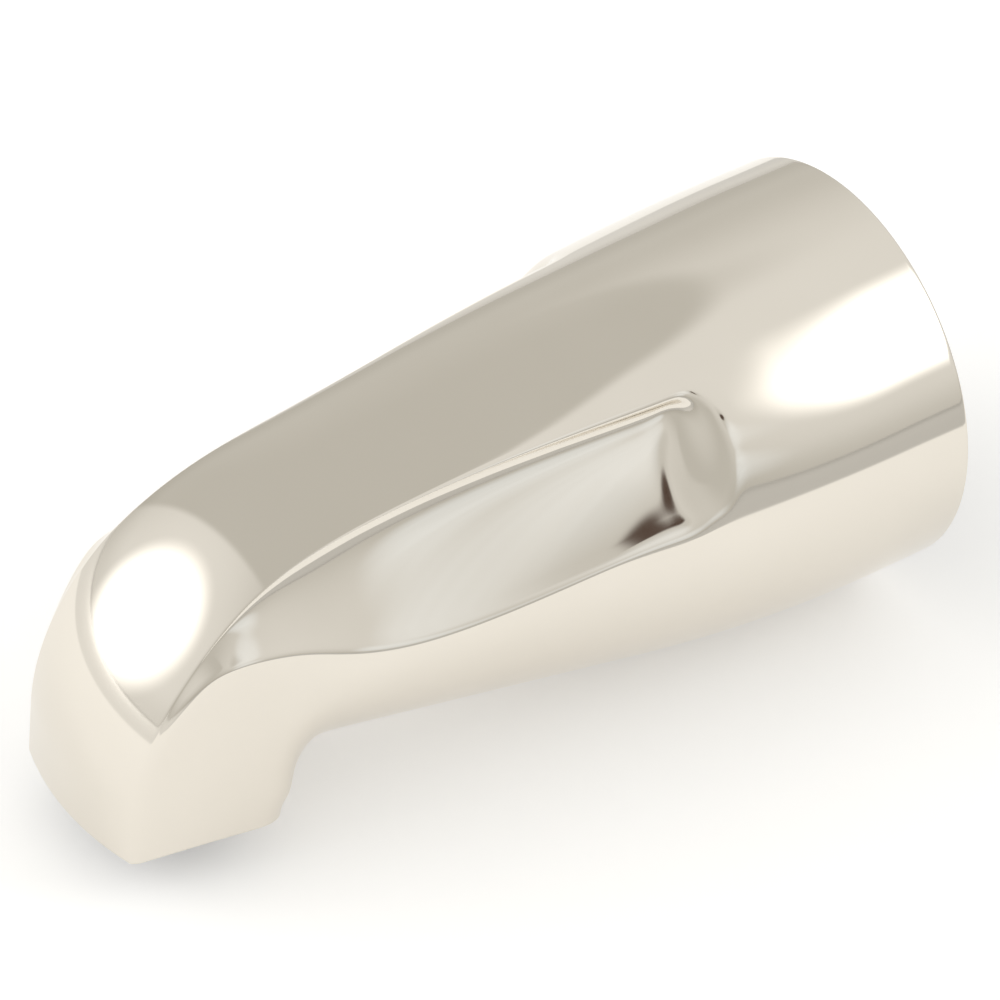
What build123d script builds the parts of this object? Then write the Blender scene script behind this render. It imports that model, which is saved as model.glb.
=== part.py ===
# Bath spout: one hollow casting that screws onto a half-inch pipe nipple in the wall.
# Millimetres. The origin is on the barrel's axis, where the inlet's thread begins. The wall is
# towards +Y, the spout runs out along -Y, and +Z is up. Sections are placed by t, their distance
# from the wall face, as far as the arch behind the lip, and by a turn about the arch from there.
import os
from math import asin, atan2, cos, hypot, radians, sin, sqrt, tan

from build123d import *

# Overall form
base_diameter = 63.5         # round barrel that meets the wall
projection = 135.5           # wall face to the front of the lip
lip_drop = 23.5              # barrel axis down to the lip
wall = 2.8                   # casting thickness

# Top line, seen from the side
top_slope = 7.0              # degrees that the hood falls towards the front
top_blend = 22.0             # half length of the soft bend from barrel to hood
nose_radius = 39.5           # curve of the hood down to the front face
front_straight = 9.9         # upright part of the front face above the lip

# Plan, seen from above
nose_width = 26.8            # width that the side taper reaches at the front of the lip
taper_start = 29.7           # distance from the wall where the sides start to draw in
taper_blend = 20.0           # half length of the soft bend from barrel to taper

# Mouth, with its sections turned about the centre of the arch behind the lip
mouth_length = 27.9          # front to back of the lip
arch_radius = 5.6            # hollow of the underside behind the lip
corner_start = 12.5          # from the arch centre to where the back corners of the mouth begin
corner_fullness = 0.88       # 0.55 is a round corner, nearer 1 is squarer
corner_turn = 65.0           # degrees of turn over which those corners form

# Hood: the crowned band along the top, between the two flutes
hood_half_width = 12.6       # shoulder line, from the middle
hood_spread = 4.8            # how much wider the band is on the barrel
hood_spread_from = 34.0      # distance from the wall where it starts to narrow
hood_spread_to = 98.0        # and where it has narrowed
hood_nose_spread = 0.9       # how much wider it is on the front curve
nose_spread_from = 8.0       # degrees of turn where that starts
nose_spread_to = 38.0        # and where it ends
crown_from = 10.0            # distance from the wall where the barrel starts to turn into the crown
crown_to = 50.0              # and where the crown has its own roundness
crown_radius = 24.5          # roundness of the band, across the spout
lip_crown_radius = 42.0      # roundness of the front face at the lip

# Flutes: the long hollow on each side, from the barrel to a point beside the front face
flute_start = 40.5           # rear end of the hollow, from the wall
flute_depth_ratio = 0.15     # depth of the hollow as a share of its width
flute_tip_depth_ratio = 0.04 # the same near the point
flute_steep = 0.08           # share of the width in which its steep upper side goes down
flute_flat = 0.4             # share of the width from where its floor runs out to the lower edge
flute_low = 4.4              # lowest run of the lower edge, above the axis
flute_low_back = 11.0        # start of that run, back from where the nose turns down
flute_low_front = 16.0        # and its end
flute_rear_rise = 5.4        # how much higher the lower edge is at the rear end
flute_front_rise = 1.9       # how much it has climbed again where the nose turns down
flute_narrowing = 0.38       # loss of width for each degree round the nose
flute_narrowing_gain = 0.005 # how much that loss grows, for each degree
flute_point_softness = 2.5   # how gently the flute runs out at its point
flute_point_turn = 40.0      # degrees of turn over which the soft edge below the point takes over
edge_width = 0.9             # that soft edge
flat_side_turn = 30.0        # degrees of turn over which the sides of the nose become flat

# Rear end of the flutes
flute_end_length = 7.0       # length of the soft wall at the end
flute_end_lead = 0.4         # share of that wall behind the end line
flute_end_back = 0.28        # share of the way across where the end line reaches furthest back
flute_end_top = 2.0          # how much further forward its upper corner lies
flute_end_lean = 10.5        # how much further forward its lower corner lies
flute_end_curve = 2.4        # roundness of that lower corner

# Edge rounding of the flutes, as the length taken from each side of an edge
shoulder_rear_round = 3.2
shoulder_nose_round = 0.8
shoulder_round_from = 60.0   # travel from the wall where the rounding starts to tighten
shoulder_round_to = 125.0    # and where it is tight
lower_rear_round = 2.5
lower_edge_round = 0.5
lower_round_from = 46.0
lower_round_to = 62.0
round_limit = 0.38           # most of the flute's width that one rounding may take

# Inlet
thread_bore = 18.26          # tapping size of a half-inch tapered pipe thread
thread_length = 14.0
inlet_lead_in = 1.0

# Inside of the casting, as shares of the wall thickness at the slanting sides of the hood
inset_across = 0.88
inset_down = 0.6

# Spacing of the sections
bend_step = 5.5              # where the barrel starts to taper
end_wall_step = 2.8          # along the rear end of the flutes
front_step = 5.7             # from there to the nose
nose_step = 5.0              # degrees round the nose
core_step = 5.5              # inside, from the wall to the inlet
chamber_step = 10.0          # inside, degrees round the nose

base_radius = base_diameter / 2
taper_back = taper_start - taper_blend
end_wall_back = flute_start - flute_end_lead * flute_end_length
end_wall_front = end_wall_back + flute_end_lean + flute_end_length
turn_start = projection - mouth_length - arch_radius
inlet_back = turn_start - thread_length
thread_start = inlet_back + inlet_lead_in
nose_axis_t = projection - nose_radius
nose_axis_z = front_straight - lip_drop
hood_fall = radians(top_slope)
side_slope = (base_radius - nose_width / 2) / (projection - taper_start)
round_arc = 0.5523           # handle length of a quarter circle, as a share of its radius


def eased(u):
    """Soft step from 0 to 1."""
    u = min(max(u, 0.0), 1.0)
    return u * u * (3 - 2 * u)


def eased_between(value, start, end):
    return eased((value - start) / (end - start))


def between(a, b, u):
    return a + (b - a) * u


def mix(p, q, u):
    return (between(p[0], q[0], u), between(p[1], q[1], u))


def distance(p, q):
    return hypot(p[0] - q[0], p[1] - q[1])


def bent_line(t, level, start, slope, blend):
    """Level up to start, then falling, with a soft bend of half length blend."""
    if t <= start - blend:
        return level
    if t >= start + blend:
        return level - slope * (t - start)
    return level - slope * (t - start + blend) ** 2 / (4 * blend)


def half_width(t):
    """Side of the spout at a distance t from the wall."""
    return bent_line(t, base_radius, taper_start, side_slope, taper_blend)


def top_height(t):
    """Top line over the barrel, the straight part of the hood and the start of the nose."""
    tangent_t = nose_axis_t + nose_radius * sin(hood_fall)
    tangent_z = nose_axis_z + nose_radius * cos(hood_fall)
    if t > tangent_t:
        return nose_axis_z + sqrt(nose_radius**2 - (t - nose_axis_t) ** 2)
    bend = tangent_t - (base_radius - tangent_z) / tan(hood_fall)
    return bent_line(t, base_radius, bend, tan(hood_fall), top_blend)


def nose_reach(angle, inset):
    """From the arch centre, at an angle from upright, out to the hood line less an inset."""
    radius = nose_radius - inset
    dt = nose_axis_t - turn_start
    dz = nose_axis_z + lip_drop
    s = sin(angle)
    c = cos(angle)
    if (dt + radius) * c <= dz * s:
        return (dt + radius) / s
    along = dt * s + dz * c
    reach = along + sqrt(along**2 - dt**2 - dz**2 + radius**2)
    if reach * s >= dt + radius * sin(hood_fall):
        return reach
    line_height = dz + radius * cos(hood_fall) + (dt + radius * sin(hood_fall)) * tan(hood_fall)
    return line_height / (c + s * tan(hood_fall))


def raised(points):
    """The same Bezier curve with one more control point."""
    n = len(points)
    inner = [mix(points[i], points[i - 1], i / n) for i in range(1, n)]
    return [points[0], *inner, points[-1]]


def split_at(points, u):
    """The two parts of a Bezier curve, before and after u."""
    first = []
    last = []
    while points:
        first.append(points[0])
        last.insert(0, points[-1])
        points = [mix(p, q, u) for p, q in zip(points, points[1:])]
    return first, last


def trimmed(points, u0, u1):
    """The part of a Bezier curve from u0 to u1."""
    before, _ = split_at(points, u1)
    _, kept = split_at(before, u0 / u1)
    return kept


def corner_between(first, second):
    """Rounded corner from the end of one curve to the start of the next, tangent to both."""
    p = first[-1]
    q = second[0]
    dp = (p[0] - first[-2][0], p[1] - first[-2][1])
    dq = (second[1][0] - q[0], second[1][1] - q[1])
    cross = dp[0] * dq[1] - dp[1] * dq[0]
    along = ((q[0] - p[0]) * dq[1] - (q[1] - p[1]) * dq[0]) / cross
    return [p, (p[0] + along * dp[0], p[1] + along * dp[1]), q]


def crown_curve(top, shoulder):
    """Arc across the hood, level in the middle."""
    drop = top - shoulder[1]
    radius = (shoulder[0] ** 2 + drop**2) / (2 * drop)
    angle = asin(shoulder[0] / radius)
    handle = 4 / 3 * tan(angle / 4) * radius
    leaning = (shoulder[0] - handle * cos(angle), shoulder[1] + handle * sin(angle))
    return [(0.0, top), (handle, top), leaning, shoulder]


def barrel_curve(shoulder, edge):
    """Plain round side of the barrel, from the shoulder line to the lower edge of the flute."""
    start = atan2(shoulder[1], shoulder[0])
    end = atan2(edge[1], edge[0])
    share = 4 / 3 * tan((start - end) / 4)
    first = (shoulder[0] + share * shoulder[1], shoulder[1] - share * shoulder[0])
    second = (edge[0] - share * edge[1], edge[1] + share * edge[0])
    return [shoulder, first, second, edge]


def hollow_curve(shoulder, edge, depth_ratio, inset):
    """Hollow across the flute, with a steep side under the shoulder and a long floor down to the edge.
    The inside of the casting has an even hollow there."""
    steep_place, flat_place = (1 / 3, 2 / 3) if inset else (flute_steep, flute_flat)
    across = (edge[0] - shoulder[0], edge[1] - shoulder[1])
    inward = (across[1], -across[0])
    sink = 4 / 3 * depth_ratio
    steep = mix(shoulder, edge, steep_place)
    flat = mix(shoulder, edge, flat_place)
    first = (steep[0] + sink * inward[0], steep[1] + sink * inward[1])
    second = (flat[0] + sink * inward[0], flat[1] + sink * inward[1])
    return [shoulder, first, second, edge]


def flute_end(share):
    """Distance from the wall of the flute's rear end, at a share of the way across it."""
    if share < flute_end_back:
        return flute_start + flute_end_top * (1 - share / flute_end_back) ** 2
    rest = (share - flute_end_back) / (1 - flute_end_back)
    return flute_start + flute_end_lean * rest**flute_end_curve


def flute_curve(t, turn, shoulder, edge, inset):
    """Round barrel behind the flute, hollow flute in front, with the soft end wall between."""
    round_side = raised(raised(barrel_curve(shoulder, edge)))
    depth_ratio = between(flute_depth_ratio, flute_tip_depth_ratio, eased(turn / flat_side_turn))
    hollow = raised(raised(hollow_curve(shoulder, edge, depth_ratio, inset)))
    last = len(hollow) - 1
    points = []
    for i, (p, q) in enumerate(zip(round_side, hollow)):
        behind = flute_end(i / last) - flute_end_lead * flute_end_length
        points.append(mix(p, q, eased_between(t, behind, behind + flute_end_length)))
    return points


def body_marks(t):
    """Top, shoulder, flute edge, widest point and bottom of an upright section."""
    x = hood_half_width + hood_spread * (1 - eased_between(t, hood_spread_from, hood_spread_to))
    barrel_drop = base_radius - sqrt(base_radius**2 - x**2)
    crown_drop = x**2 / (2 * crown_radius)
    drop = between(barrel_drop, crown_drop, eased_between(t, crown_from, crown_to))
    side = half_width(t)
    low = flute_low + flute_rear_rise * (1 - eased_between(t, flute_start, turn_start - flute_low_back))
    climb = max(1 - (turn_start - t) / flute_low_front, 0.0)
    low += flute_front_rise * climb**3
    edge = (sqrt(side**2 - low**2), low)
    top = top_height(t)
    return top, (x, top - drop), edge, (side, 0.0), -side


def nose_marks(turn):
    """The same five marks of a section turned about the arch centre, turn in degrees."""
    angle = radians(turn)
    x = hood_half_width + hood_nose_spread * eased_between(turn, nose_spread_from, nose_spread_to)
    drop = x**2 / (2 * between(crown_radius, lip_crown_radius, turn / 90))
    top = nose_reach(angle, 0.0) - lip_drop
    shoulder = (x, nose_reach(angle, drop) - lip_drop)
    _, body_shoulder, body_edge, body_side, body_bottom = body_marks(turn_start)
    full = body_shoulder[1] - body_edge[1]
    loss = flute_narrowing * turn + flute_narrowing_gain * turn**2
    line = full - flute_point_softness**2 / (4 * full) - loss
    width = (line + hypot(line, flute_point_softness)) / 2
    width += edge_width * eased(turn / flute_point_turn)
    edge_height = shoulder[1] - width
    bulge = (body_side[0] - body_edge[0]) * (1 - eased(turn / flat_side_turn))
    edge = (half_width(turn_start + (edge_height + lip_drop) * sin(angle)) - bulge, edge_height)
    side_height = (corner_start - lip_drop) * eased(turn / corner_turn)
    side = half_width(turn_start + (side_height + lip_drop) * sin(angle))
    bottom = between(body_bottom, arch_radius - lip_drop, eased(turn / 90))
    return top, shoulder, edge, (side, side_height), bottom


def section_curves(t, turn, inset):
    """Right half of a section, from the middle of the top round to the middle of the underside.
    An inset gives the inside of the casting."""
    top, shoulder, edge, side, bottom = nose_marks(turn) if turn > 0 else body_marks(t)
    top -= inset
    shoulder = (shoulder[0] - inset_across * inset, shoulder[1] - inset_down * inset)
    edge = (edge[0] - inset_across * inset, edge[1] - inset_down * inset)
    side = (side[0] - inset, side[1])
    bottom += inset

    lean = side_slope * sin(radians(turn))
    half = (edge[1] - side[1]) / 2
    fullness = between(round_arc, corner_fullness, eased(turn / corner_turn))
    reach = fullness * (side[1] - bottom)
    crown = crown_curve(top, shoulder)
    flute = flute_curve(t, turn, shoulder, edge, inset)
    flank = [edge, (side[0] - lean * half, side[1] + half), side]
    under = [side, (side[0] + lean * reach, side[1] - reach), (fullness * side[0], bottom), (0.0, bottom)]
    if inset > 0:
        return [crown, flute, flank, under]

    # Outside, the two edges of the flute are rounded
    travel = t + turn
    width = distance(shoulder, edge)
    tight = eased_between(travel, shoulder_round_from, shoulder_round_to)
    upper = min(between(shoulder_rear_round, shoulder_nose_round, tight), round_limit * width)
    tight = eased_between(travel, lower_round_from, lower_round_to)
    lower = min(between(lower_rear_round, lower_edge_round, tight), round_limit * width)
    crown = trimmed(crown, 0, 1 - upper / distance((0.0, top), shoulder))
    flute = trimmed(flute, upper / width, 1 - lower / width)
    flank = trimmed(flank, lower / distance(edge, side), 1)
    return [crown, corner_between(crown, flute), flute, corner_between(flute, flank), flank, under]


def section_plane(t, turn):
    """Upright plane at t, or the plane through the arch centre turned down towards the lip."""
    s = sin(radians(turn))
    c = cos(radians(turn))
    origin = (0, thread_start - t - lip_drop * s, lip_drop * (c - 1))
    return Plane(origin=origin, x_dir=(1, 0, 0), z_dir=(0, -c, -s))


def section_face(t, turn, inset):
    """One section, its curves kept apart so that the loft follows the edges of the flutes."""
    right = section_curves(t, turn, inset)
    left = [[(-x, y) for x, y in reversed(points)] for points in reversed(right)]
    with BuildLine(section_plane(t, turn)):
        edges = [Bezier(*points, mode=Mode.PRIVATE) for points in right + left]
    return Face(Wire(edges))


def steps(start, end, size):
    """Evenly spaced places after start, up to and with end, about a size apart."""
    count = max(round((end - start) / size), 1)
    return [start + (end - start) * i / count for i in range(1, count + 1)]


def lofted(sections, inset, mode):
    loft([section_face(t, turn, inset) for t, turn in sections], ruled=True, mode=mode)


barrel_places = [0.0, taper_back, *steps(taper_back, end_wall_back, bend_step)]
flute_places = steps(end_wall_back, end_wall_front, end_wall_step)
front_places = steps(end_wall_front, turn_start, front_step)
body_sections = [(t, 0.0) for t in barrel_places + flute_places + front_places]
nose_sections = [(turn_start, turn) for turn in steps(0.0, 90.0, nose_step)]
core_sections = [(t, 0.0) for t in [0.0, *steps(0.0, inlet_back, core_step)]]
chamber_sections = [(turn_start, turn) for turn in [0.0, *steps(0.0, 90.0, chamber_step)]]

with BuildPart() as spout:
    # Outer form, from the wall face to the lip
    lofted(body_sections + nose_sections, 0.0, Mode.ADD)
    # Hollow from the wall to the inlet, and from the inlet down to the mouth
    lofted(core_sections, wall, Mode.SUBTRACT)
    lofted(chamber_sections, wall, Mode.SUBTRACT)
    # Inlet bore through the web that is left between them
    with BuildSketch(Plane.XZ.offset(-inlet_lead_in)):
        Circle(thread_bore / 2)
    extrude(amount=thread_length, mode=Mode.SUBTRACT)
    inlet_edges = spout.edges().filter_by(GeomType.CIRCLE).sort_by(Axis.Y)
    chamfer(inlet_edges[-1], inlet_lead_in)
spout.part.label = "spout_body"

os.makedirs("parts", exist_ok=True)
export_step(spout.part, "parts/spout_body.step")
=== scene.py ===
from math import asin, atan2, cos, hypot, pi, radians, sin, sqrt, tan

import bpy
import numpy as np
from mathutils import Matrix, Quaternion, Vector


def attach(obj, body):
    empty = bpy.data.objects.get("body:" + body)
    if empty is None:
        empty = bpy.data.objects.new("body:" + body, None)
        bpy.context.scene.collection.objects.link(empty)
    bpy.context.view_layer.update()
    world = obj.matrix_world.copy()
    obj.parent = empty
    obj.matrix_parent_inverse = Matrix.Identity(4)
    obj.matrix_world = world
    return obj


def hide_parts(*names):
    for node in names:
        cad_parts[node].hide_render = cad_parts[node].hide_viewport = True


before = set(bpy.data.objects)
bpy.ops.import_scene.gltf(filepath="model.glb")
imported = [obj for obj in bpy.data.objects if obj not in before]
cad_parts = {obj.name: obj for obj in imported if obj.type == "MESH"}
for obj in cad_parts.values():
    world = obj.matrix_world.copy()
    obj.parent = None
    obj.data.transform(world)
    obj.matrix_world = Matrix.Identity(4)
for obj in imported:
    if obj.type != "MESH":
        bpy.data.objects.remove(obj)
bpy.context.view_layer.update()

# The form of the spout, in millimetres and degrees. The values are those of the part's source, except
# that the flute has a tighter wall, tighter roundings and a steeper rear end a little further from
# the wall face, and that the inside follows this flute
base_diameter = 63.5
projection = 135.5
lip_drop = 23.5
wall = 2.8

top_slope = 7.0
top_blend = 22.0
nose_radius = 39.5
front_straight = 9.9

nose_width = 26.8
taper_start = 29.7
taper_blend = 20.0

mouth_length = 27.9
arch_radius = 5.6
corner_start = 12.5
corner_fullness = 0.88
corner_turn = 65.0

hood_half_width = 12.6
hood_spread = 4.8
hood_spread_from = 34.0
hood_spread_to = 98.0
hood_nose_spread = 0.9
nose_spread_from = 8.0
nose_spread_to = 38.0
crown_from = 10.0
crown_to = 50.0
crown_radius = 24.5
lip_crown_radius = 42.0

flute_start = 41.5
flute_depth_ratio = 0.15
flute_tip_depth_ratio = 0.04
flute_low = 4.4
flute_low_back = 11.0
flute_low_front = 16.0
flute_rear_rise = 5.4
flute_front_rise = 1.9
flute_climb_power = 3
flute_narrowing = 0.38
flute_narrowing_gain = 0.005
flute_point_softness = 2.5
flute_point_turn = 40.0
edge_width = 0.9
flat_side_turn = 30.0

# Control points of the hollow across the flute, as shares of its width and of its depth
flute_across = (0.0, 0.0, 0.0, 0.22, 0.62, 1.0)
flute_inward = (0.0, 0.93, 1.33, 1.13, 0.67, 0.0)

flute_end_length = 4.2
flute_end_lead = 0.4
flute_end_back = 0.28
flute_end_top = 2.0
flute_end_lean = 10.5
flute_end_curve = 2.4

shoulder_rear_round = 2.4
shoulder_nose_round = 0.5
shoulder_round_from = 45.0
shoulder_round_to = 95.0
lower_rear_round = 1.2
lower_edge_round = 0.5
lower_round_from = 46.0
lower_round_to = 62.0
round_limit = 0.38

thread_bore = 18.26
thread_length = 14.0
thread_pitch = 1.814
thread_depth = 1.2
thread_flank_top = 1.25
thread_flank_slope = 1.5
inlet_lead_in = 1.0

shoulder_inset_across = 1.3
inset_across = 0.88
inset_down = 0.6
rim_round = 0.5

base_radius = base_diameter / 2
turn_start = projection - mouth_length - arch_radius
inlet_back = turn_start - thread_length
thread_start = inlet_back + inlet_lead_in
nose_axis_t = projection - nose_radius
nose_axis_z = front_straight - lip_drop
hood_fall = radians(top_slope)
side_slope = (base_radius - nose_width / 2) / (projection - taper_start)
full_turn = 90.0
mm_per_m = 1000

# Length of a Bezier handle for a quarter of a circle, as a share of the radius
round_arc = 0.5523


def eased(u):
    """Soft step from 0 to 1."""
    u = min(max(u, 0.0), 1.0)
    return u * u * (3 - 2 * u)


def eased_between(value, start, end):
    return eased((value - start) / (end - start))


def between(a, b, u):
    return a + (b - a) * u


def mix(p, q, u):
    return (between(p[0], q[0], u), between(p[1], q[1], u))


def distance(p, q):
    return hypot(p[0] - q[0], p[1] - q[1])


def bent_line(t, level, start, slope, blend):
    """Level up to start, then falling, with a soft bend of half length blend."""
    if t <= start - blend:
        return level
    if t >= start + blend:
        return level - slope * (t - start)
    return level - slope * (t - start + blend) ** 2 / (4 * blend)


def half_width(t):
    """Side of the spout at a distance t from the wall."""
    return bent_line(t, base_radius, taper_start, side_slope, taper_blend)


def top_height(t):
    """Top line over the barrel, the straight part of the hood and the start of the nose."""
    tangent_t = nose_axis_t + nose_radius * sin(hood_fall)
    tangent_z = nose_axis_z + nose_radius * cos(hood_fall)
    if t > tangent_t:
        return nose_axis_z + sqrt(nose_radius**2 - (t - nose_axis_t) ** 2)
    bend = tangent_t - (base_radius - tangent_z) / tan(hood_fall)
    return bent_line(t, base_radius, bend, tan(hood_fall), top_blend)


def nose_reach(angle, inset):
    """From the arch centre, at an angle from upright, out to the hood line less an inset."""
    radius = nose_radius - inset
    dt = nose_axis_t - turn_start
    dz = nose_axis_z + lip_drop
    s = sin(angle)
    c = cos(angle)
    if (dt + radius) * c <= dz * s:
        return (dt + radius) / s
    along = dt * s + dz * c
    reach = along + sqrt(along**2 - dt**2 - dz**2 + radius**2)
    if reach * s >= dt + radius * sin(hood_fall):
        return reach
    line_height = dz + radius * cos(hood_fall) + (dt + radius * sin(hood_fall)) * tan(hood_fall)
    return line_height / (c + s * tan(hood_fall))


def raised(points):
    """The same Bezier curve with one more control point."""
    n = len(points)
    inner = [mix(points[i], points[i - 1], i / n) for i in range(1, n)]
    return [points[0], *inner, points[-1]]


def split_at(points, u):
    """The two parts of a Bezier curve, before and after u."""
    first = []
    last = []
    while points:
        first.append(points[0])
        last.insert(0, points[-1])
        points = [mix(p, q, u) for p, q in zip(points, points[1:])]
    return first, last


def trimmed(points, u0, u1):
    """The part of a Bezier curve from u0 to u1."""
    before, _ = split_at(points, u1)
    _, kept = split_at(before, u0 / u1)
    return kept


def corner_between(first, second):
    """Rounded corner from the end of one curve to the start of the next, tangent to both."""
    p = first[-1]
    q = second[0]
    dp = (p[0] - first[-2][0], p[1] - first[-2][1])
    dq = (second[1][0] - q[0], second[1][1] - q[1])
    cross = dp[0] * dq[1] - dp[1] * dq[0]
    along = ((q[0] - p[0]) * dq[1] - (q[1] - p[1]) * dq[0]) / cross
    return [p, (p[0] + along * dp[0], p[1] + along * dp[1]), q]


def crown_curve(top, shoulder):
    """Arc across the hood, level in the middle."""
    drop = top - shoulder[1]
    radius = (shoulder[0] ** 2 + drop**2) / (2 * drop)
    angle = asin(shoulder[0] / radius)
    handle = 4 / 3 * tan(angle / 4) * radius
    leaning = (shoulder[0] - handle * cos(angle), shoulder[1] + handle * sin(angle))
    return [(0.0, top), (handle, top), leaning, shoulder]


def barrel_curve(shoulder, edge):
    """Plain round side of the barrel, from the shoulder line to the lower edge of the flute."""
    start = atan2(shoulder[1], shoulder[0])
    end = atan2(edge[1], edge[0])
    share = 4 / 3 * tan((start - end) / 4)
    first = (shoulder[0] + share * shoulder[1], shoulder[1] - share * shoulder[0])
    second = (edge[0] - share * edge[1], edge[1] + share * edge[0])
    return [shoulder, first, second, edge]


def hollow_curve(shoulder, edge, depth_ratio):
    """Hollow across the flute, with a steep side under the shoulder and a long floor down to the edge."""
    across = (edge[0] - shoulder[0], edge[1] - shoulder[1])
    inward = (depth_ratio * across[1], -depth_ratio * across[0])
    points = []
    for place, depth in zip(flute_across, flute_inward):
        x, height = mix(shoulder, edge, place)
        points.append((x + depth * inward[0], height + depth * inward[1]))
    return points


def flute_end(share):
    """Distance from the wall of the flute's rear end, at a share of the way across it."""
    if share < flute_end_back:
        return flute_start + flute_end_top * (1 - share / flute_end_back) ** 2
    rest = (share - flute_end_back) / (1 - flute_end_back)
    return flute_start + flute_end_lean * rest**flute_end_curve


def flute_curve(t, turn, shoulder, edge):
    """Round barrel behind the flute, hollow flute in front, with the soft end wall between."""
    round_side = raised(raised(barrel_curve(shoulder, edge)))
    depth_ratio = between(flute_depth_ratio, flute_tip_depth_ratio, eased(turn / flat_side_turn))
    hollow = hollow_curve(shoulder, edge, depth_ratio)
    last = len(hollow) - 1
    points = []
    for i, (p, q) in enumerate(zip(round_side, hollow)):
        behind = flute_end(i / last) - flute_end_lead * flute_end_length
        points.append(mix(p, q, eased_between(t, behind, behind + flute_end_length)))
    return points


def body_marks(t):
    """Top, shoulder, flute edge, widest point and bottom of an upright section."""
    x = hood_half_width + hood_spread * (1 - eased_between(t, hood_spread_from, hood_spread_to))
    barrel_drop = base_radius - sqrt(base_radius**2 - x**2)
    crown_drop = x**2 / (2 * crown_radius)
    drop = between(barrel_drop, crown_drop, eased_between(t, crown_from, crown_to))
    side = half_width(t)
    low = flute_low + flute_rear_rise * (1 - eased_between(t, flute_start, turn_start - flute_low_back))
    climb = max(1 - (turn_start - t) / flute_low_front, 0.0)
    low += flute_front_rise * climb**flute_climb_power
    edge = (sqrt(side**2 - low**2), low)
    top = top_height(t)
    return top, (x, top - drop), edge, (side, 0.0), -side


def nose_marks(turn):
    """The same five marks of a section turned about the arch centre, turn in degrees."""
    angle = radians(turn)
    x = hood_half_width + hood_nose_spread * eased_between(turn, nose_spread_from, nose_spread_to)
    drop = x**2 / (2 * between(crown_radius, lip_crown_radius, turn / full_turn))
    top = nose_reach(angle, 0.0) - lip_drop
    shoulder = (x, nose_reach(angle, drop) - lip_drop)
    _, body_shoulder, body_edge, body_side, body_bottom = body_marks(turn_start)
    full = body_shoulder[1] - body_edge[1]
    loss = flute_narrowing * turn + flute_narrowing_gain * turn**2
    line = full - flute_point_softness**2 / (4 * full) - loss
    width = (line + hypot(line, flute_point_softness)) / 2
    width += edge_width * eased(turn / flute_point_turn)
    edge_height = shoulder[1] - width
    bulge = (body_side[0] - body_edge[0]) * (1 - eased(turn / flat_side_turn))
    edge = (half_width(turn_start + (edge_height + lip_drop) * sin(angle)) - bulge, edge_height)
    side_height = (corner_start - lip_drop) * eased(turn / corner_turn)
    side = half_width(turn_start + (side_height + lip_drop) * sin(angle))
    bottom = between(body_bottom, arch_radius - lip_drop, eased(turn / full_turn))
    return top, shoulder, edge, (side, side_height), bottom


def section_curves(t, turn, inset):
    """Right half of a section, from the middle of the top round to the middle of the underside.
    An inset gives the inside of the casting."""
    top, shoulder, edge, side, bottom = nose_marks(turn) if turn > 0 else body_marks(t)
    top -= inset
    shoulder = (shoulder[0] - shoulder_inset_across * inset, shoulder[1] - inset_down * inset)
    edge = (edge[0] - inset_across * inset, edge[1] - inset_down * inset)
    side = (side[0] - inset, side[1])
    bottom += inset

    lean = side_slope * sin(radians(turn))
    half = (edge[1] - side[1]) / 2
    fullness = between(round_arc, corner_fullness, eased(turn / corner_turn))
    reach = fullness * (side[1] - bottom)
    crown = crown_curve(top, shoulder)
    flute = flute_curve(t, turn, shoulder, edge)
    flank = [edge, (side[0] - lean * half, side[1] + half), side]
    under = [side, (side[0] + lean * reach, side[1] - reach), (fullness * side[0], bottom), (0.0, bottom)]

    travel = t + turn
    width = distance(shoulder, edge)
    tight = eased_between(travel, shoulder_round_from, shoulder_round_to)
    upper = min(between(shoulder_rear_round, shoulder_nose_round, tight), round_limit * width)
    tight = eased_between(travel, lower_round_from, lower_round_to)
    lower = min(between(lower_rear_round, lower_edge_round, tight), round_limit * width)
    crown = trimmed(crown, 0, 1 - upper / distance((0.0, top), shoulder))
    flute = trimmed(flute, upper / width, 1 - lower / width)
    flank = trimmed(flank, lower / distance(edge, side), 1)
    return [crown, corner_between(crown, flute), flute, corner_between(flute, flank), flank, under]


# The mesh: closed rings of points that run along the outside from the wall to the lip, then back
# along the inside through the inlet, so that the last ring meets the first
curve_counts = (14, 6, 26, 5, 8, 28)
body_step = 0.55
nose_step = 0.75
core_step = 2.2
chamber_step = 3.0
thread_step = 0.18
all_passes = 10
turn_passes = 100
turn_reach = 50
lip_turn = 1.5
rim_angles = (15, 35, 55, 75, 90)
web_places = (0.35, 0.7, 1.0)
sharp_angle = 40.0


def bezier_points(points, count):
    """Evenly spaced points of a Bezier curve, without its end."""
    found = []
    for i in range(count):
        row = points
        while len(row) > 1:
            row = [mix(p, q, i / count) for p, q in zip(row, row[1:])]
        found.append(row[0])
    return found


def section_points(t, turn, inset):
    """One section as a closed ring of (x, height) points."""
    right = []
    curves = section_curves(t, turn, inset)
    for points, count in zip(curves, curve_counts):
        right += bezier_points(points, count)
    last = curves[-1][-1]
    left = [(-x, h) for x, h in reversed(right[1:])]
    return np.array(right + [last] + left)


def placed(flat, t, turn):
    """A ring of (x, height) points in the frame, in millimetres."""
    s = sin(radians(turn))
    c = cos(radians(turn))
    reach = flat[:, 1] + lip_drop
    return np.column_stack([flat[:, 0], thread_start - t - reach * s, reach * c - lip_drop])


def ring(t, turn, inset):
    return placed(section_points(t, turn, inset), t, turn)


def steps(start, end, size):
    """Evenly spaced places from start to end, about a size apart."""
    count = max(round(abs(end - start) / size), 1)
    return [start + (end - start) * i / count for i in range(count + 1)]


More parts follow.
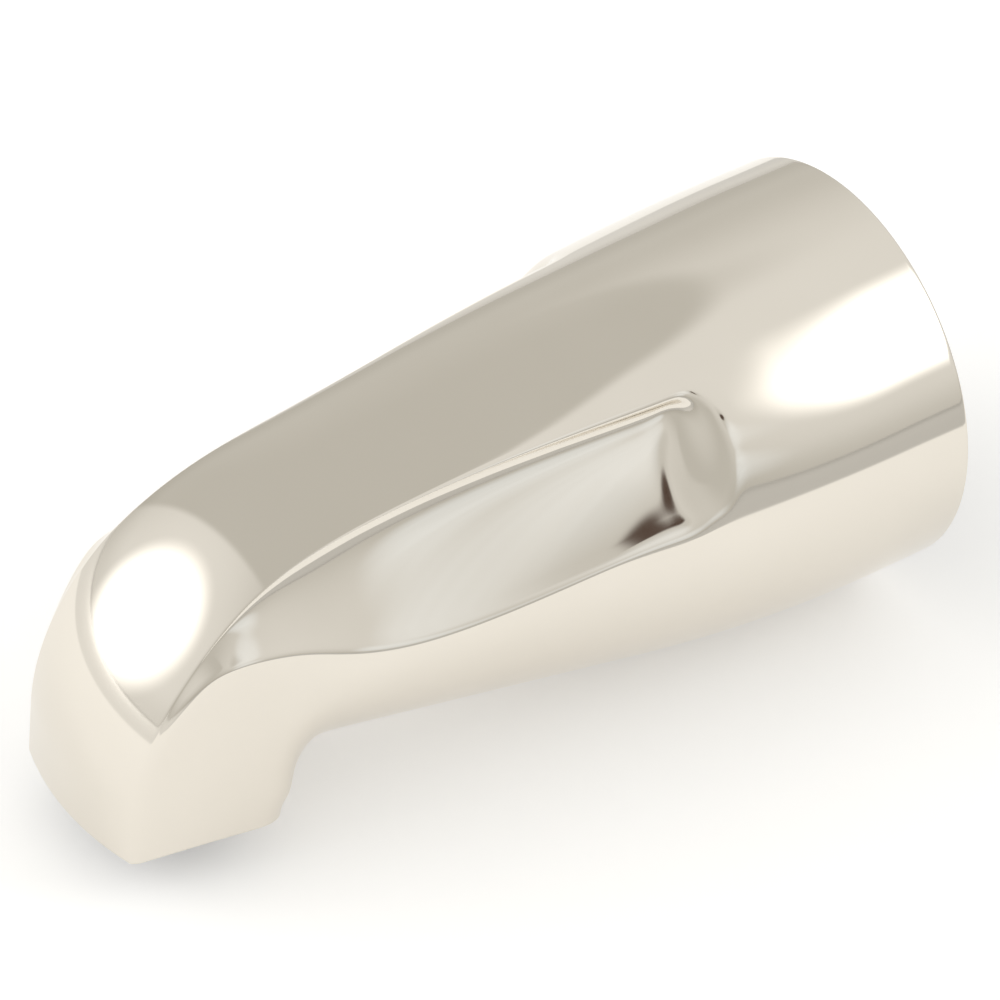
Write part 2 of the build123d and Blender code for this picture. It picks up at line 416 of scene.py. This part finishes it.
def smoothed(rings, passes, shares):
    """Evens out the run of each line of points from ring to ring, each ring by its own share."""
    rings = np.array(rings)
    shares = np.array(shares)[1:-1, None, None] / 4
    for _ in range(passes):
        rings[1:-1] += shares * (rings[:-2] - 2 * rings[1:-1] + rings[2:])
    return rings


def outer_rings():
    """The outside, evened out all along and more so where the body turns into the nose."""
    body = [ring(t, 0.0, 0.0) for t in steps(rim_round, turn_start, body_step)]
    nose = [ring(turn_start, turn, 0.0) for turn in steps(0.0, full_turn - lip_turn, nose_step)[1:]]
    rings = smoothed(body + nose, all_passes, [1.0] * len(body + nose))
    near_turn = [eased(1 - abs(i - len(body)) / turn_reach) for i in range(len(rings))]
    return list(smoothed(rings, turn_passes, near_turn))


def lip_rings():
    """Rounded edge from the outside to the flat of the lip."""
    rings = []
    for angle in rim_angles:
        inset = rim_round * (1 - cos(radians(angle)))
        lift = rim_round * (1 - sin(radians(angle)))
        flat = section_points(turn_start, full_turn, inset)
        edge = placed(flat, turn_start, full_turn)
        edge[:, 2] += lift * np.minimum(1.0, (flat[:, 1] + lip_drop) * sin(radians(lip_turn)) / rim_round)
        rings.append(edge)
    return rings


def wall_rings():
    """Rounded edge from the flat of the wall face to the outside."""
    rings = []
    for angle in reversed(rim_angles):
        inset = rim_round * (1 - cos(radians(angle)))
        depth = rim_round * (1 - sin(radians(angle)))
        rings.append(ring(depth, 0.0, inset))
    return rings


def circle_points(like, radius):
    """A round ring whose points lie at the same angles as those of another ring."""
    angles = np.arctan2(like[:, 1], like[:, 0])
    return np.column_stack([radius * np.cos(angles), radius * np.sin(angles)])


def web_rings(section, radius, t):
    """Flat ring from a section in to a round hole."""
    hole = circle_points(section, radius)
    return [placed(section + (hole - section) * u, t, 0.0) for u in web_places]


def thread_rings(like):
    """Screw thread in the inlet, from the nose side to the wall side."""
    angles = np.arctan2(like[:, 1], like[:, 0]) / (2 * pi)
    rings = []
    for t in steps(turn_start, thread_start, thread_step):
        phase = (angles - t / thread_pitch) % 1.0
        groove = np.clip(thread_flank_top - thread_flank_slope * np.abs(2 * phase - 1), 0.0, 1.0)
        ends = eased(min(turn_start - t, t - thread_start) / thread_pitch)
        radius = thread_bore / 2 + thread_depth * groove * ends
        hole = np.column_stack([radius * np.cos(2 * pi * angles), radius * np.sin(2 * pi * angles)])
        rings.append(placed(hole, t, 0.0))
    return rings


def inner_rings():
    """From the lip up the chamber, through the inlet and out along the hollow to the wall."""
    chamber = [ring(turn_start, turn, wall) for turn in steps(full_turn, 0.0, chamber_step)]
    front = section_points(turn_start, 0.0, wall)
    back = section_points(inlet_back, 0.0, wall)
    front_web = web_rings(front, thread_bore / 2, turn_start)
    back_web = web_rings(back, thread_bore / 2 + inlet_lead_in, inlet_back)
    core = [ring(t, 0.0, wall) for t in steps(inlet_back, 0.0, core_step)]
    return chamber + front_web[:-1] + thread_rings(front) + back_web[::-1] + core


def spout_mesh():
    """The whole casting as one closed mesh, with its inside on a second material."""
    outside = wall_rings() + outer_rings() + lip_rings()
    inside = inner_rings()
    rings = outside + inside
    count = len(rings[0])
    points = np.concatenate(rings) / mm_per_m
    faces = []
    for i in range(len(rings)):
        a = i * count
        b = (i + 1) % len(rings) * count
        faces += [(a + j, a + (j + 1) % count, b + (j + 1) % count, b + j) for j in range(count)]
    mesh = bpy.data.meshes.new("spout")
    mesh.from_pydata(points.tolist(), [], faces)
    first_inside = len(outside) * count
    last_inside = (len(rings) - 1) * count
    inner = [int(first_inside <= f < last_inside) for f in range(len(faces))]
    mesh.polygons.foreach_set("material_index", inner)
    mesh.polygons.foreach_set("use_smooth", [True] * len(faces))
    mesh.set_sharp_from_angle(angle=radians(sharp_angle))
    mesh.update()
    return mesh


# Materials: a noise has a scale and a detail, a bump has a strength and a height
nickel_dark = (0.745, 0.7, 0.625)
nickel_light = (0.775, 0.73, 0.655)
nickel_roughness = (0.04, 0.08)
nickel_cloud = (60.0, 3.0)
nickel_wave = (30.0, 1.0)
nickel_bump = (0.05, 0.0002)
casting_dark = (0.36, 0.35, 0.33)
casting_light = (0.48, 0.47, 0.45)
casting_roughness = (0.4, 0.55)
casting_grain = (900.0, 4.0)
casting_patches = (120.0, 3.0)
casting_bump = (0.25, 0.0004)


def new_material(name):
    material = bpy.data.materials.new(name)
    material.use_nodes = True
    nodes = material.node_tree.nodes
    return material, nodes, material.node_tree.links, nodes["Principled BSDF"]


def noise_texture(nodes, links, scale, detail):
    """Soft noise that is fixed to the piece."""
    where = nodes.new("ShaderNodeTexCoord")
    noise = nodes.new("ShaderNodeTexNoise")
    noise.inputs["Scale"].default_value = scale
    noise.inputs["Detail"].default_value = detail
    links.new(where.outputs["Object"], noise.inputs["Vector"])
    return noise.outputs["Fac"]


def add_tone(nodes, links, shader, value, dark, light):
    """Colour that drifts between two tones."""
    tone = nodes.new("ShaderNodeValToRGB")
    tone.color_ramp.elements[0].color = (*dark, 1.0)
    tone.color_ramp.elements[1].color = (*light, 1.0)
    links.new(value, tone.inputs["Fac"])
    links.new(tone.outputs["Color"], shader.inputs["Base Color"])


def add_roughness(nodes, links, shader, value, low, high):
    spread = nodes.new("ShaderNodeMapRange")
    spread.inputs["To Min"].default_value = low
    spread.inputs["To Max"].default_value = high
    links.new(value, spread.inputs["Value"])
    links.new(spread.outputs["Result"], shader.inputs["Roughness"])


def add_bump(nodes, links, shader, value, strength, height):
    bump = nodes.new("ShaderNodeBump")
    bump.inputs["Strength"].default_value = strength
    bump.inputs["Distance"].default_value = height
    links.new(value, bump.inputs["Height"])
    links.new(bump.outputs["Normal"], shader.inputs["Normal"])


def soft_step(nodes, links, value, start, end, low, high):
    """Node that goes softly from low at start to high at end."""
    step = nodes.new("ShaderNodeMapRange")
    step.interpolation_type = "SMOOTHSTEP"
    step.inputs["From Min"].default_value = start
    step.inputs["From Max"].default_value = end
    step.inputs["To Min"].default_value = low
    step.inputs["To Max"].default_value = high
    links.new(value, step.inputs["Value"])
    return step


def polished_nickel():
    """Mirror-bright warm nickel with a faint unevenness left by the polishing wheel."""
    material, nodes, links, shader = new_material("polished_nickel")
    shader.inputs["Metallic"].default_value = 1.0
    cloud = noise_texture(nodes, links, *nickel_cloud)
    wave = noise_texture(nodes, links, *nickel_wave)
    add_tone(nodes, links, shader, cloud, nickel_dark, nickel_light)
    add_roughness(nodes, links, shader, cloud, *nickel_roughness)
    add_bump(nodes, links, shader, wave, *nickel_bump)
    return material


def raw_casting():
    """Dull grey skin of the casting, left as it is inside the spout."""
    material, nodes, links, shader = new_material("raw_casting")
    shader.inputs["Metallic"].default_value = 1.0
    grain = noise_texture(nodes, links, *casting_grain)
    patches = noise_texture(nodes, links, *casting_patches)
    add_tone(nodes, links, shader, patches, casting_dark, casting_light)
    add_roughness(nodes, links, shader, grain, *casting_roughness)
    add_bump(nodes, links, shader, grain, *casting_bump)
    return material


spout = bpy.data.objects.new("spout_casting", spout_mesh())
bpy.context.scene.collection.objects.link(spout)
spout.data.materials.append(polished_nickel())
spout.data.materials.append(raw_casting())
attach(spout, "root")
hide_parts("spout_body")


# Floor: a round white sheet under the spout and a pale grey floor beyond it, in metres
floor_reach = 3.0
floor_roughness = 0.9
floor_gloss = 0.2
sheet_tone = 0.92
sheet_lift = 0.2
sheet_middle = (0.0, 0.02, 0.0)
sheet_edge_from = 0.242
sheet_edge_to = 0.266
# Beyond the sheet the floor's colour carries painted light: lighter towards the front lamp, darker away
# from it
far_tone = 0.64
far_painted_light_tone = 0.88
painted_light_way = (-0.707, -0.707, 0.0)
painted_light_reach = 0.1


def sheet_fade(nodes, links, near, far):
    """Value that changes from the white sheet to the floor beyond its edge."""
    where = nodes.new("ShaderNodeTexCoord")
    reach = nodes.new("ShaderNodeVectorMath")
    reach.operation = "DISTANCE"
    reach.inputs[1].default_value = sheet_middle
    links.new(where.outputs["Object"], reach.inputs[0])
    return soft_step(nodes, links, reach.outputs["Value"], sheet_edge_from, sheet_edge_to, near, far)


def floor_beyond_painted_light(nodes, links):
    """Tone of the floor beyond the sheet, with painted light: lighter on the side of the front lamp."""
    where = nodes.new("ShaderNodeTexCoord")
    towards = nodes.new("ShaderNodeVectorMath")
    towards.operation = "DOT_PRODUCT"
    towards.inputs[1].default_value = painted_light_way
    links.new(where.outputs["Object"], towards.inputs[0])
    return soft_step(nodes, links, towards.outputs["Value"], -painted_light_reach, painted_light_reach, far_tone, far_painted_light_tone)


def seen_directly(nodes, links):
    """One for what the eye sees, also in reflections and through glass, and nothing for other light."""
    path = nodes.new("ShaderNodeLightPath")
    seen = path.outputs["Is Camera Ray"]
    for kind in ("Is Glossy Ray", "Is Transmission Ray"):
        either = nodes.new("ShaderNodeMath")
        either.operation = "MAXIMUM"
        links.new(seen, either.inputs[0])
        links.new(path.outputs[kind], either.inputs[1])
        seen = either.outputs["Value"]
    return seen


def floor_material():
    """Matt floor that takes the shadow, with the sheet lifted to white and painted light on the floor
    beyond it.
    """
    material, nodes, links, shader = new_material("white_floor")
    shader.inputs["Roughness"].default_value = floor_roughness
    shader.inputs["Specular IOR Level"].default_value = floor_gloss
    shader.inputs["Emission Color"].default_value = (1.0, 1.0, 1.0, 1.0)
    tone = sheet_fade(nodes, links, sheet_tone, far_tone)
    links.new(floor_beyond_painted_light(nodes, links).outputs["Result"], tone.inputs["To Max"])
    links.new(tone.outputs["Result"], shader.inputs["Base Color"])
    lift = nodes.new("ShaderNodeMath")
    lift.operation = "MULTIPLY"
    links.new(seen_directly(nodes, links), lift.inputs[0])
    links.new(sheet_fade(nodes, links, sheet_lift, 0.0).outputs["Result"], lift.inputs[1])
    links.new(lift.outputs["Value"], shader.inputs["Emission Strength"])
    return material


def make_floor():
    """Level square under the spout, at the height of the barrel's lowest line."""
    level = -base_radius / mm_per_m
    ends = (-floor_reach, floor_reach)
    corners = [(x, y, level) for x in ends for y in ends]
    mesh = bpy.data.meshes.new("floor")
    mesh.from_pydata(corners, [], [(0, 2, 3, 1)])
    mesh.materials.append(floor_material())
    floor = bpy.data.objects.new("floor", mesh)
    bpy.context.scene.collection.objects.link(floor)


make_floor()


# Light: a warm grey tent, lighter on some sides, with two soft boxes that shine into it
def bearing(round_angle, height_angle):
    """Unit vector at an angle round from the back (towards +X) and an angle above the floor."""
    flat = cos(radians(height_angle))
    return (sin(radians(round_angle)) * flat, cos(radians(round_angle)) * flat, sin(radians(height_angle)))


tent_colour = (0.66, 0.648, 0.612)
glow_colour = (0.98, 1.0, 1.05)
skirt_darkness = -0.08
skirt_top = 0.25

# A glow has a direction, the angles from it where it is full and where it ends, and a strength
front_glow = (bearing(-150, 25), 15, 80, 0.32)
front_edge = (-0.02, 0.951, 0.31)
front_edge_place = 0.0
back_glow = (bearing(25, 45), 20, 75, 0.28)
back_edge = bearing(205, 42)
back_edge_place = 0.31
edge_softness = 0.025
tent_glows = ((bearing(81, 36), 2, 9, -0.12), (bearing(-45, 10), 10, 42, 0.04))

window_colour = (0.18, 0.215, 0.26)
upper_window = (bearing(75, 26), 3, 10.5, 0.8)
lower_window = (bearing(77, 10), 2, 10, 1.1)
streak_stretch = (2.0, 2.0, 16.0)
streak_scale = 3.0
streak_detail = 3.0
streak_range = (0.3, 0.7)
streak_levels = (0.85, 1.1)

flag_colour = (0.10, 0.065, 0.05)
flag_bearing = bearing(81, 37.3)
flag_length = 0.075
flag_height = 0.034
flag_core = 0.65
flag_rim = 1.2

# A soft box has a name, a direction, a width, a height, a roll and a brightness
soft_boxes = (
    ("box_right_back", bearing(41, 38), 1.2, 0.46, 47, 2.2),
    ("box_front_left", bearing(-150, 24), 1.9, 1.4, 45, 1.6),
)
box_distance = 1.2
box_middle = (0.5, 0.5, 0.0)
box_core = 0.15
box_rim = 0.5


class Tent:
    """Node tree of the world, built up from small steps."""

    def __init__(self):
        world = bpy.data.worlds.new("tent")
        bpy.context.scene.world = world
        world.use_nodes = True
        self.nodes = world.node_tree.nodes
        self.links = world.node_tree.links
        self.where = self.nodes.new("ShaderNodeTexCoord").outputs["Generated"]

    def along(self, direction):
        """Share of the looking direction that lies along another one."""
        dot = self.nodes.new("ShaderNodeVectorMath")
        dot.operation = "DOT_PRODUCT"
        dot.inputs[1].default_value = direction
        self.links.new(self.where, dot.inputs[0])
        return dot.outputs["Value"]

    def fade(self, value, start, end, low, high):
        return soft_step(self.nodes, self.links, value, start, end, low, high).outputs["Result"]

    def glow(self, direction, inner, outer, amount):
        return self.fade(self.along(direction), cos(radians(outer)), cos(radians(inner)), 0.0, amount)

    def joined(self, operation, first, second):
        step = self.nodes.new("ShaderNodeMath")
        step.operation = operation
        self.links.new(first, step.inputs[0])
        self.links.new(second, step.inputs[1])
        return step.outputs["Value"]

    def scaled(self, value, size):
        """A value measured in steps of a size."""
        step = self.nodes.new("ShaderNodeMath")
        step.operation = "DIVIDE"
        step.inputs[1].default_value = size
        self.links.new(value, step.inputs[0])
        return step.outputs["Value"]

    def panel(self, edge, place, values):
        """Glow that stops at a straight edge."""
        shown = self.fade(self.along(edge), place + edge_softness, place - edge_softness, 0.0, 1.0)
        return self.joined("MULTIPLY", self.glow(*values), shown)

    def streaks(self):
        """Level streaks like those of a drawn curtain."""
        stretched = self.nodes.new("ShaderNodeVectorMath")
        stretched.operation = "MULTIPLY"
        stretched.inputs[1].default_value = streak_stretch
        self.links.new(self.where, stretched.inputs[0])
        noise = self.nodes.new("ShaderNodeTexNoise")
        noise.inputs["Scale"].default_value = streak_scale
        noise.inputs["Detail"].default_value = streak_detail
        self.links.new(stretched.outputs["Vector"], noise.inputs["Vector"])
        return self.fade(noise.outputs["Fac"], *streak_range, *streak_levels)

    def tinted(self, level, colour):
        tint = self.nodes.new("ShaderNodeVectorMath")
        tint.operation = "SCALE"
        tint.inputs[0].default_value = colour
        self.links.new(level, tint.inputs["Scale"])
        return tint.outputs["Vector"]

    def added(self, first, second):
        both = self.nodes.new("ShaderNodeVectorMath")
        both.operation = "ADD"
        self.links.new(first, both.inputs[0])
        self.links.new(second, both.inputs[1])
        return both.outputs["Vector"]

    def cloth(self):
        """Light of the tent's cloth over its plain colour: panels, glows and a darker skirt."""
        level = self.panel(front_edge, front_edge_place, front_glow)
        level = self.joined("ADD", level, self.panel(back_edge, back_edge_place, back_glow))
        for values in tent_glows:
            level = self.joined("ADD", level, self.glow(*values))
        skirt = self.fade(self.along((0, 0, 1)), 0.0, skirt_top, skirt_darkness, 0.0)
        return self.joined("ADD", level, skirt)

    def window(self):
        both = self.joined("ADD", self.glow(*upper_window), self.glow(*lower_window))
        return self.joined("MULTIPLY", both, self.streaks())

    def clear_of_flag(self):
        """Nothing inside the oval flag and one outside it."""
        centre = Vector(flag_bearing)
        level_way = centre.cross((0, 0, 1)).normalized()
        upper_way = level_way.cross(centre)
        spread = self.nodes.new("ShaderNodeCombineXYZ")
        self.links.new(self.scaled(self.along(level_way), flag_length), spread.inputs["X"])
        self.links.new(self.scaled(self.along(upper_way), flag_height), spread.inputs["Y"])
        far = self.nodes.new("ShaderNodeVectorMath")
        far.operation = "LENGTH"
        self.links.new(spread.outputs["Vector"], far.inputs[0])
        return self.fade(far.outputs["Value"], flag_core, flag_rim, 0.0, 1.0)

    def build(self):
        """The tent's cloth, its window and a small dark flag, all on the background."""
        glow = self.added(self.tinted(self.cloth(), glow_colour), self.tinted(self.window(), window_colour))
        lit = self.nodes.new("ShaderNodeVectorMath")
        lit.operation = "ADD"
        lit.inputs[1].default_value = tent_colour
        self.links.new(glow, lit.inputs[0])
        both = self.nodes.new("ShaderNodeMix")
        both.data_type = "RGBA"
        both.inputs["A"].default_value = (*flag_colour, 1.0)
        self.links.new(self.clear_of_flag(), both.inputs["Factor"])
        self.links.new(lit.outputs["Vector"], both.inputs["B"])
        self.links.new(both.outputs["Result"], self.nodes["Background"].inputs["Color"])


def box_glow(lamp):
    """Makes a lamp bright in the middle, fading to its edges."""
    lamp.use_nodes = True
    nodes = lamp.node_tree.nodes
    links = lamp.node_tree.links
    place = nodes.new("ShaderNodeNewGeometry")
    middle = nodes.new("ShaderNodeVectorMath")
    middle.operation = "DISTANCE"
    middle.inputs[1].default_value = box_middle
    links.new(place.outputs["Parametric"], middle.inputs[0])
    fade = soft_step(nodes, links, middle.outputs["Value"], box_rim, box_core, 0.0, 1.0)
    links.new(fade.outputs["Result"], nodes["Emission"].inputs["Strength"])


def soft_box(name, towards, width, height, roll, brightness):
    """Oval lamp that faces the spout."""
    lamp = bpy.data.lights.new(name, "AREA")
    lamp.shape = "ELLIPSE"
    lamp.size = width
    lamp.size_y = height
    lamp.energy = brightness * pi * width * height
    box_glow(lamp)
    box = bpy.data.objects.new(name, lamp)
    box.location = Vector(towards) * box_distance
    box.rotation_mode = "QUATERNION"
    box.rotation_quaternion = Vector(towards).to_track_quat("Z", "Y") @ Quaternion((0, 0, 1), radians(roll))
    bpy.context.scene.collection.objects.link(box)


Tent().build()
for values in soft_boxes:
    soft_box(*values)

# Camera, in metres, degrees and millimetres of lens
camera_place = (0.51984, -0.39364, 0.62585)
camera_azimuth = 50.998
camera_elevation = 43.044
camera_roll = 5.013
camera_lens = 227.85
camera_sensor = 36.0

turn_round = radians(camera_azimuth)
look_down = radians(camera_elevation)
back = Vector((sin(turn_round) * cos(look_down), -cos(turn_round) * cos(look_down), sin(look_down)))
level = Vector((cos(turn_round), sin(turn_round), 0.0))
upright = back.cross(level)
roll = radians(camera_roll)
right = cos(roll) * level + sin(roll) * upright
up = cos(roll) * upright - sin(roll) * level
lens = bpy.data.cameras.new("camera")
lens.sensor_width = camera_sensor
lens.lens = camera_lens
camera = bpy.data.objects.new("camera", lens)
camera.matrix_world = Matrix.Translation(camera_place) @ Matrix((right, up, back)).transposed().to_4x4()
bpy.context.scene.collection.objects.link(camera)
bpy.context.scene.camera = camera

bpy.context.scene.view_settings.view_transform = "Standard"
